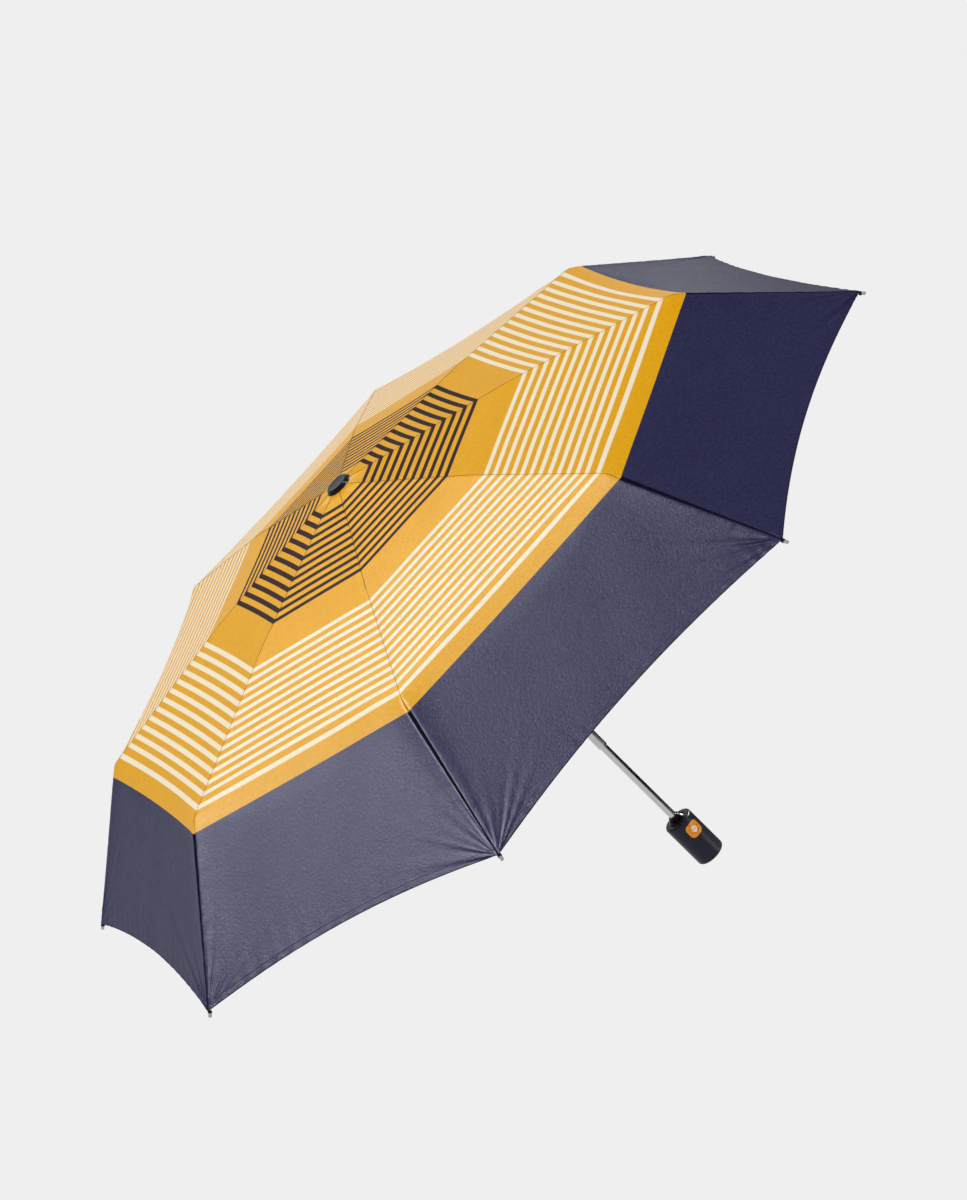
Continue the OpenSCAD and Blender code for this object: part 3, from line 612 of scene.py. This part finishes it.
def gore_grid(gore):
    """Points, normals and the three distances of gore number gore, in metres and mm."""
    rng = np.random.default_rng(100 + gore)
    w = np.broadcast_to(across, (len(row_zone), len(across)))
    rim = corners_mm[4] - SCALLOP * (1 - w ** 2)
    beside = (1 - np.abs(w[:1])) * fabric_line[:, :1] * math.sin(HALF_STEP) * math.cos(HALF_STEP)
    cuts = corners_mm[:, None] + CUT_LEAN[:, None] * beside
    low, high = cuts[row_zone], cuts[np.minimum(row_zone + 1, 4)]
    high = np.where(row_zone[:, None] == 3, rim, high)
    s = low + (high - low) * row_share[:, None]
    loose = (1 - w ** 2)
    r, z = over_rib(s, (np.full_like(s, 2.0), 3 + 14 * loose, 5 + 34 * loose))
    inner = np.clip((s - corners_mm[0]) / (corners_mm[1] - corners_mm[0]), 0, 1)
    flat = math.cos(HALF_STEP)
    x = r * flat * (1 - SAG * loose * inner)
    y = x * math.tan(HALF_STEP) * w
    circle = r / np.maximum(np.hypot(x, y), 1e-6)
    x, y = (x * (inner + (1 - inner) * circle), y * (inner + (1 - inner) * circle))
    point = np.stack([x, y, z], -1)

    side = np.where(w < 0, 0, 1)
    seam = (1 - np.abs(w)) * x * math.tan(HALF_STEP) * flat
    hem = rim - s
    lift = np.zeros_like(s)
    for k, sign in enumerate((-1, 1)):
        near = side == k
        bearing = HALF_STEP * sign
        corner, elbow = on_rib(4, bearing), on_rib(3, bearing)
        rib = (elbow - corner) / np.linalg.norm(elbow - corner)
        away = point - corner
        reach = np.linalg.norm(away, axis=-1)
        angle = np.degrees(np.arctan2(np.linalg.norm(np.cross(away, rib), axis=-1), away @ rib))
        fan = 0.6 * waves(angle, 17.0, rng) + 0.4 * waves(angle + reach * 0.04, 9.0, rng)
        fan *= 0.25 + 0.75 * ease(waves(angle, 55.0, rng, 2) + 0.4)
        lift += near * fan * FAN_MM * np.exp(-reach / 40) * (1 - np.exp(-reach / 8)) * ease(angle / 6)
        outer = ease((s - corners_mm[3] + 6) / 18)
        pucker = (waves(s, 9.0, rng) * PUCKER_MM * np.exp(-seam / 5)
                  + waves(s, 24.0, rng) * PUCKER_MM * np.exp(-seam / 14))
        lift += near * pucker * ease(seam / 1.2)
        towards_tip = 1 - 0.6 * ease((s - corners_mm[3]) / 165)
        swell = outer * towards_tip * (1 - np.exp(-seam / 1.3)) * np.exp(-seam / 13)
        ridge = (1 - outer) * RIDGE_MM * (1 - np.exp(-seam / 1.5)) * np.exp(-seam / 7)
        lift += near * (SWELL_MM * swell + ridge)
    lift += HEM_WAVE_MM * np.exp(-hem / 14) * waves(y, 15.0, rng) * ease(seam / 12)
    lift += GATHER_MM * np.exp(-np.abs(s - corners_mm[1]) / 12) * waves(w * 22, 4.0, rng) * ease(seam / 3)
    slow = SLOW_WAVE_MM * waves(s + y * 0.6, 150.0, rng) * waves(y - s * 0.3, 120.0, rng)
    lift += slow * ease(seam / 40) * inner
    lift *= ease(inner)
    lift = np.where(seam < 6, np.maximum(lift, -0.12), lift)
    point = point + normals_of(point) * lift[..., None]
    n = normals_of(point)
    turn = math.radians(STEP * (gore + 0.5))
    spin = np.array([[math.cos(turn), -math.sin(turn), 0], [math.sin(turn), math.cos(turn), 0], [0, 0, 1]])
    return point @ spin.T * MM, n @ spin.T, s, seam, hem


gores = [gore_grid(g) for g in range(RIBS)]
highest = max(g[0][..., 2].max() for g in gores)
print("gore grid", gores[0][2].shape, "highest", round(float(highest) * 1000, 1), "mm")

# %% [markdown]
# ## Cutting the canopy into panels
# A closed umbrella folds its cloth between the ribs. One mesh can't do that, so each gore is cut down its middle
# and at the two rib joints, and each panel rides on the rib section that it is sewn to. When the ribs fold, a panel
# only turns with its rib section and doesn't narrow, so folded panels cross each other and the ribs. The cuts lean
# outwards from the ribs, which keeps the points that stand up over the folded ribs short. At rest the panels meet
# edge to edge, and they share the whole gore's normals, so no cut shows. Each panel has a second layer 0.25 mm
# below, closed at its edges.

# %% Build the panels
CLOTH_MM = 0.25
ZONES = (("top", 1, "top_rib"), ("middle", 2, "mid_rib"), ("outer", 3, "tip_rib"))
HALVES = (("a", 0, slice(0, COLUMNS + 1)), ("b", 1, slice(COLUMNS, None)))
row_start = np.concatenate([[0], np.cumsum(ROWS)])


def panel(name, grids):
    """A two-layer cloth mesh from parts of a gore grid: points, normals, and the three distances."""
    point, normal, s, seam, hem = grids
    rows, cols = s.shape
    top = point.reshape(-1, 3)
    low = top - normal.reshape(-1, 3) * CLOTH_MM * MM
    index = np.arange(rows * cols).reshape(rows, cols)
    quads = np.stack([index[:-1, :-1], index[1:, :-1], index[1:, 1:], index[:-1, 1:]], -1).reshape(-1, 4)
    rim = np.concatenate([index[0, :], index[1:, -1], index[-1, -2::-1], index[-2:0:-1, 0]])
    nxt = np.roll(rim, -1)
    count = rows * cols
    walls = np.stack([rim, nxt, nxt + count, rim + count], -1)
    faces = np.concatenate([quads, quads[:, ::-1] + count, walls])
    mesh = bpy.data.meshes.new(name)
    mesh.from_pydata(np.concatenate([top, low]).tolist(), [], faces.tolist())
    for key, value in (("from_crown", s), ("from_seam", seam), ("from_hem", hem)):
        layer = mesh.attributes.new(key, "FLOAT", "POINT")
        layer.data.foreach_set("value", np.tile(value.reshape(-1), 2).astype(np.float32))
    uv = mesh.uv_layers.new(name="cloth")
    loop_vertex = np.zeros(len(mesh.loops), np.int32)
    mesh.loops.foreach_get("vertex_index", loop_vertex)
    flat = np.stack([seam.reshape(-1), s.reshape(-1)], -1) * MM
    uv.data.foreach_set("uv", np.tile(flat, (2, 1))[loop_vertex].astype(np.float32).reshape(-1))
    mesh.shade_smooth()
    both = np.concatenate([normal.reshape(-1, 3), -normal.reshape(-1, 3)])
    loop_normal = both[loop_vertex]
    wall_start = 4 * 2 * len(quads)    # four loops a quad, two layers
    loop_normal[wall_start:] = 0
    mesh.normals_split_custom_set(loop_normal.tolist())
    return mesh


def part_of(grids, rows, cols):
    return tuple(g[rows, cols] for g in grids)


def zone_rows(zone):
    return slice(row_start[zone], row_start[zone + 1] + 1)


def gather(piece, gore, half, zone):
    """Gives a piece its own copy of its mesh; the bearing of its rib and the far corner of its zone are worked out but
    not used.
    """
    bearing = math.radians(STEP * (gore + half))
    far = on_rib(zone + 1, math.radians(STEP * (gore + 0.5)), math.cos(HALF_STEP)) * MM
    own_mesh(piece)


def grid_area(point):
    """Area of a grid of points, from the diagonals of its cells."""
    diagonal = point[1:, 1:] - point[:-1, :-1]
    other = point[1:, :-1] - point[:-1, 1:]
    return float(np.linalg.norm(np.cross(diagonal, other), axis=-1).sum()) / 2


for gore, grids in enumerate(gores):
    for zone_name, zone, rib_kind in ZONES:
        for letter, half, cols in HALVES:
            rib = (gore + half) % RIBS + 1
            name = f"cloth_{zone_name}_{gore + 1}{letter}"
            piece_grids = part_of(grids, zone_rows(zone), cols)
            piece = new_piece(name, panel(name, piece_grids), cloth)
            body = f"{rib_kind}_{rib}"
            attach(piece, body)
            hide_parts("canopy")
            gather(piece, gore, half, zone)
            point, _, s, seam, _ = piece_grids
            width, length = round(float(seam.max()) * MM, 3), round(float(s.max() - s.min()) * MM, 3)
            area = grid_area(point)

# %% [markdown]
# ## The cloth under the crown cap
# A round patch of the same cloth lies under the cap, and the cap clamps it. It turns with nothing, so it rides on
# the upper tube.

# %% Crown patch
patch_rows = [part_of(grids, zone_rows(0), slice(0, -1)) for grids in gores]
ring = tuple(np.concatenate([p[k] for p in patch_rows] + [patch_rows[0][k][:, :1]], axis=1) for k in range(5))
patch = new_piece("cloth_crown_patch", panel("cloth_crown_patch", ring), cloth)
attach(patch, "upper_tube")
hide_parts("canopy")
print("crown patch", len(patch.data.polygons), "faces")

# %% [markdown]
# ## Stitches, hem and ties
# Stitches repeat along a line, so they are made with Geometry Nodes: the line is a string of edges, the tree turns
# it into a curve, sets points at the stitch pitch, and puts a short rounded bar on each, turned along the curve. The
# same tree rolls the hem, whose own bars are so small that they stay inside the roll. Its inputs are named, and
# each is set by the socket's identifier before the object is first evaluated.

# %% Geometry Nodes helpers
def stitch_tree():
    """Bars along the edges of the mesh: pitch, bar length, bar radius and a roll radius for the line itself."""
    tree = bpy.data.node_groups.new("stitches_along_a_line", "GeometryNodeTree")
    face = tree.interface
    face.new_socket("Geometry", in_out="INPUT", socket_type="NodeSocketGeometry")
    for name, value in (("Pitch", 0.0024), ("Stitch Length", 0.0016),
                        ("Thread Radius", 0.00018), ("Roll Radius", 0.0)):
        face.new_socket(name, in_out="INPUT", socket_type="NodeSocketFloat").default_value = value
    face.new_socket("Thread", in_out="INPUT", socket_type="NodeSocketMaterial")
    face.new_socket("Roll", in_out="INPUT", socket_type="NodeSocketMaterial")
    face.new_socket("Geometry", in_out="OUTPUT", socket_type="NodeSocketGeometry")
    given = node(tree, "NodeGroupInput")
    curve = node(tree, "GeometryNodeMeshToCurve", {}, {"Mesh": given.out("Geometry")})
    spots = node(tree, "GeometryNodeResampleCurve", {"mode": "LENGTH"}, {"Curve": curve, "Length": given.out("Pitch")})
    points = node(tree, "GeometryNodeCurveToPoints", {"mode": "EVALUATED"}, {"Curve": spots})
    bar = node(tree, "GeometryNodeCurvePrimitiveLine", {"mode": "DIRECTION"},
               {"Start": (0, 0, 0), "Direction": (0, 0, 1), "Length": given.out("Stitch Length")})
    ring = node(tree, "GeometryNodeCurvePrimitiveCircle", {"mode": "RADIUS"},
                {"Resolution": 5, "Radius": given.out("Thread Radius")})
    bar = node(tree, "GeometryNodeCurveToMesh", {}, {"Curve": bar, "Profile Curve": ring, "Fill Caps": True})
    stitches = node(tree, "GeometryNodeInstanceOnPoints", {}, {"Points": points, "Instance": bar,
                                                               "Rotation": points.out("Rotation")})
    stitches = node(tree, "GeometryNodeRealizeInstances", {}, {"Geometry": stitches})
    stitches = node(tree, "GeometryNodeSetMaterial", {}, {"Geometry": stitches, "Material": given.out("Thread")})
    profile = node(tree, "GeometryNodeCurvePrimitiveCircle", {"mode": "RADIUS"},
                   {"Resolution": 8, "Radius": given.out("Roll Radius")})
    roll = node(tree, "GeometryNodeCurveToMesh", {}, {"Curve": curve, "Profile Curve": profile, "Fill Caps": True})
    roll = node(tree, "GeometryNodeSetMaterial", {}, {"Geometry": roll, "Material": given.out("Roll")})
    wanted = node(tree, "FunctionNodeCompare", {"data_type": "FLOAT", "operation": "GREATER_THAN"},
                  {"A": given.out("Roll Radius"), "B": 0.00001})
    roll = node(tree, "GeometryNodeSwitch", {"input_type": "GEOMETRY"}, {"Switch": wanted, "True": roll})
    joined = node(tree, "GeometryNodeJoinGeometry", {}, {"Geometry": stitches})
    tree.links.new(roll.socket, joined.socket.node.inputs["Geometry"])
    end = tree.nodes.new("NodeGroupOutput")
    tree.links.new(joined.socket, end.inputs[0])
    return tree


sewing = stitch_tree()
SEAM_BARS = {"Pitch": 0.0026, "Stitch Length": 0.0018, "Thread Radius": 0.00026, "Roll Radius": 0.0}
HIDDEN_BARS = {"Pitch": 0.004, "Stitch Length": 0.0001, "Thread Radius": 0.0001}
print("sewing nodes", len(sewing.nodes))


def sewn(name, lines, body, **inputs):
    """Runs the sewing tree on strings of points, in metres, and returns a plain mesh object that rides on body."""
    points, edges = [], []
    for line in lines:
        start = len(points)
        points += [tuple(p) for p in line]
        edges += [(start + k, start + k + 1) for k in range(len(line) - 1)]
    mesh = bpy.data.meshes.new(name + "_line")
    mesh.from_pydata(points, edges, [])
    source = bpy.data.objects.new(name + "_line", mesh)
    bpy.context.scene.collection.objects.link(source)
    modifier = source.modifiers.new("sewing", "NODES")
    modifier.node_group = sewing
    for item in sewing.interface.items_tree:
        if item.item_type == "SOCKET" and item.in_out == "INPUT" and item.name in inputs:
            modifier[item.identifier] = inputs[item.name]
    bpy.context.view_layer.update()
    made = bpy.data.meshes.new_from_object(source.evaluated_get(bpy.context.evaluated_depsgraph_get()))
    source.modifiers.clear()
    bpy.data.objects.remove(source)
    made.name = name
    made.shade_smooth()
    piece = bpy.data.objects.new(name, made)
    bpy.context.scene.collection.objects.link(piece)
    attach(piece, body)
    return piece


# %% Seam stitches on every rib section
SEAM_THREADS = {"top": thread_brown, "middle": thread_gold, "outer": thread_dark}
SEAM_LIFT = 0.00012
for gore, grids in enumerate(gores):
    point, normal = grids[0][:, 0], grids[1][:, 0]
    other = gores[gore - 1][1][:, -1]
    lifted = point + (normal + other) / 2 * SEAM_LIFT
    for zone_name, zone, rib_kind in ZONES:
        piece = sewn(f"seam_{zone_name}_{gore + 1}", [lifted[zone_rows(zone)]], f"{rib_kind}_{gore + 1}",
                     Thread=SEAM_THREADS[zone_name], Roll=thread_dark, **SEAM_BARS)
print("seams", RIBS * len(ZONES))

# %% Rolled hem
HEM_DROP, HEM_ROLL = 0.0003, 0.00055
for gore, grids in enumerate(gores):
    for letter, half, cols in HALVES:
        rib = (gore + half) % RIBS + 1
        edge = grids[0][-1, cols] - grids[1][-1, cols] * HEM_DROP
        piece = sewn(f"hem_{gore + 1}{letter}", [edge], f"tip_rib_{rib}",
                     Thread=thread_dark, Roll=hem_cloth, **HIDDEN_BARS, **{"Roll Radius": HEM_ROLL})
        gather(piece, gore, half, 3)
print("hems", 2 * RIBS)

# %% [markdown]
# ## Thread ties
# The cloth is tied to each outer rib's end, just under its cap, by a few turns of thread. A tie is a helix, wound
# by a formula, and the same tree rolls it to a thread.

# %% Wind the ties
TIE_RADIUS, TIE_TURNS, TIE_WIDTH, TIE_THREAD, POINTS_PER_TURN = 1.75, 4, 2.6, 0.42, 20


def at_bearing(point, bearing):
    """A radius and a height in mm, turned to that bearing, in metres."""
    return Vector((point[0] * math.cos(bearing), point[0] * math.sin(bearing), point[1])) * MM


def tie(name, centre, direction, body):
    """A helix of thread round an axis through centre along direction."""
    axis = Vector(direction).normalized()
    across_axis = axis.orthogonal().normalized()
    third = axis.cross(across_axis)
    count = TIE_TURNS * POINTS_PER_TURN
    line = []
    for k in range(count + 1):
        turn = math.pi / 10 * k
        around = (across_axis * math.cos(turn) + third * math.sin(turn)) * TIE_RADIUS * MM
        line.append(Vector(centre) + axis * ((k / count - 0.5) * TIE_WIDTH * MM) + around)
    piece = sewn(name, [line], body, Thread=thread_dark, Roll=thread_dark,
                 **HIDDEN_BARS, **{"Roll Radius": TIE_THREAD * MM})


for rib in range(1, RIBS + 1):
    bearing = math.radians(STEP * (rib - 1))
    centre = at_bearing(tip_end + 0.6 * along(TIP), bearing)
    tie(f"tip_tie_{rib}", centre, at_bearing(along(TIP), bearing), f"tip_rib_{rib}")
print("ties", RIBS)

# %% [markdown]
# ## Floor, backdrop and light
# A plain pale floor lies well below the handle and runs into a pale world. Both show as the photograph's grey-white
# to the camera and to reflections, through Light Path, while the light on the object stays at a plain level. The
# floor's underside is clear, so that a camera below it still sees the object. A bent dark flag, which only
# reflections see, gives the shaft and the handle their dark side.

# %% Floor and world
BACKGROUND = linear((239, 239, 239))
FLOOR_HALF, FLOOR_Z = 40, -1.4
FLAG_R, FLAG_HEIGHTS, FLAG_STRIPS = 0.95, (-0.45, 0.25), 15


def seen_straight(tree):
    """1 for the camera's rays and for reflected and transmitted ones, 0 for the light that falls on things."""
    path = node(tree, "ShaderNodeLightPath")
    return (path.out("Is Camera Ray") + path.out("Is Glossy Ray") + path.out("Is Transmission Ray")).clamped()


floor_mesh = bpy.data.meshes.new("studio_floor")
floor_mesh.from_pydata([(x * FLOOR_HALF, y * FLOOR_HALF, FLOOR_Z) for x, y in ((-1, -1), (1, -1), (1, 1), (-1, 1))],
                       [], [(0, 1, 2, 3)])
floor_paint, tree, shader = finish("floor_paint", Roughness=0.9, Specular_IOR_Level=0.0)
shader.inputs["Base Color"].default_value = (0.8, 0.8, 0.8, 1)
seen = seen_straight(tree)
glow = node(tree, "ShaderNodeEmission", {}, {"Color": BACKGROUND, "Strength": 1.0})
mixed = node(tree, "ShaderNodeMixShader", {}, {0: seen, 1: Wire(tree, shader.outputs[0]), 2: glow})
underside = node(tree, "ShaderNodeNewGeometry").out("Backfacing")
clear = node(tree, "ShaderNodeBsdfTransparent")
surface(tree, node(tree, "ShaderNodeMixShader", {}, {0: underside, 1: mixed, 2: clear}))
floor = new_piece("studio_floor", floor_mesh, floor_paint)

flag_mesh = bpy.data.meshes.new("studio_flag")
bend = [math.radians(86 + 9.5 * k) for k in range(FLAG_STRIPS + 1)]
flag_mesh.from_pydata([(FLAG_R * math.cos(a), FLAG_R * math.sin(a), z) for a in bend for z in FLAG_HEIGHTS], [],
                      [(2 * k, 2 * k + 1, 2 * k + 3, 2 * k + 2) for k in range(FLAG_STRIPS)])
flag_paint, tree, shader = finish("flag_black", Roughness=1.0, Specular_IOR_Level=0.0)
shader.inputs["Base Color"].default_value = (0.004, 0.004, 0.004, 1)
flag = new_piece("studio_flag", flag_mesh, flag_paint)
flag.visible_camera = flag.visible_diffuse = flag.visible_shadow = flag.visible_transmission = False

world = bpy.data.worlds.new("studio_world")
bpy.context.scene.world = world
world.use_nodes = True
tree = world.node_tree
strength = 1.12 - seen_straight(tree) * 0.12
backdrop = node(tree, "ShaderNodeBackground", {}, {"Color": BACKGROUND, "Strength": strength})
tree.links.new(backdrop.socket, tree.nodes["World Output"].inputs["Surface"])
print("stage set")

# %% [markdown]
# ## Lamps
# Two large soft lamps stand where the near gores mirror them, which gives the satin cloth its pale bloom. Three
# smaller ones give the handle, the collar and the cap their bright strips. None adds diffuse light, and light
# linking keeps each group to its own pieces.

# %% Lamps for the cloth and for the mouldings
def soft_lamp(name, place, target, size, power):
    lamp = bpy.data.lights.new(name, "AREA")
    lamp.shape, lamp.size, lamp.size_y, lamp.energy = "RECTANGLE", size[0], size[1], power
    holder = bpy.data.objects.new(name, lamp)
    bpy.context.scene.collection.objects.link(holder)
    holder.location = place
    holder.rotation_mode = "QUATERNION"
    holder.rotation_quaternion = (Vector(target) - Vector(place)).to_track_quat("-Z", "Y")
    return holder


AIM = (0, 0, 0.5)


def toward(azimuth, elevation, distance):
    """A place at that distance from the point that the lamps aim at."""
    a, e = math.radians(azimuth), math.radians(elevation)
    level = distance * math.cos(e)
    return (level * math.cos(a), level * math.sin(a), AIM[2] + distance * math.sin(e))


def linked_lamps(name, pieces, distance, lamps):
    """Lamps that only the given pieces reflect: name, azimuth, elevation, size and power of each."""
    group = bpy.data.collections.new(name)
    for piece in pieces:
        group.objects.link(piece)
    for lamp_name, azimuth, elevation, size, power in lamps:
        lamp = soft_lamp(lamp_name, toward(azimuth, elevation, distance), AIM, size, power)
        lamp.visible_diffuse = False
        lamp.light_linking.receiver_collection = group


linked_lamps("satin_cloth", [o for o in bpy.data.objects if o.name.startswith("cloth_")], 3.2, (
    ("gloss_overhead", -2, 66, (2.8, 2.8), 2550),
    ("gloss_side", -108, 60, (1.5, 1.5), 200)))
linked_lamps("mouldings", (cap, collar, shell, end_cap, push, inlay), 2.4, (
    ("window", 125, 40, (0.5, 1.1), 420),
    ("strip", 122, -33, (0.45, 1.6), 22),
    ("low_window", 172, 14, (0.9, 0.9), 240)))
bpy.context.scene.view_settings.view_transform = "Standard"
print("lamps set")
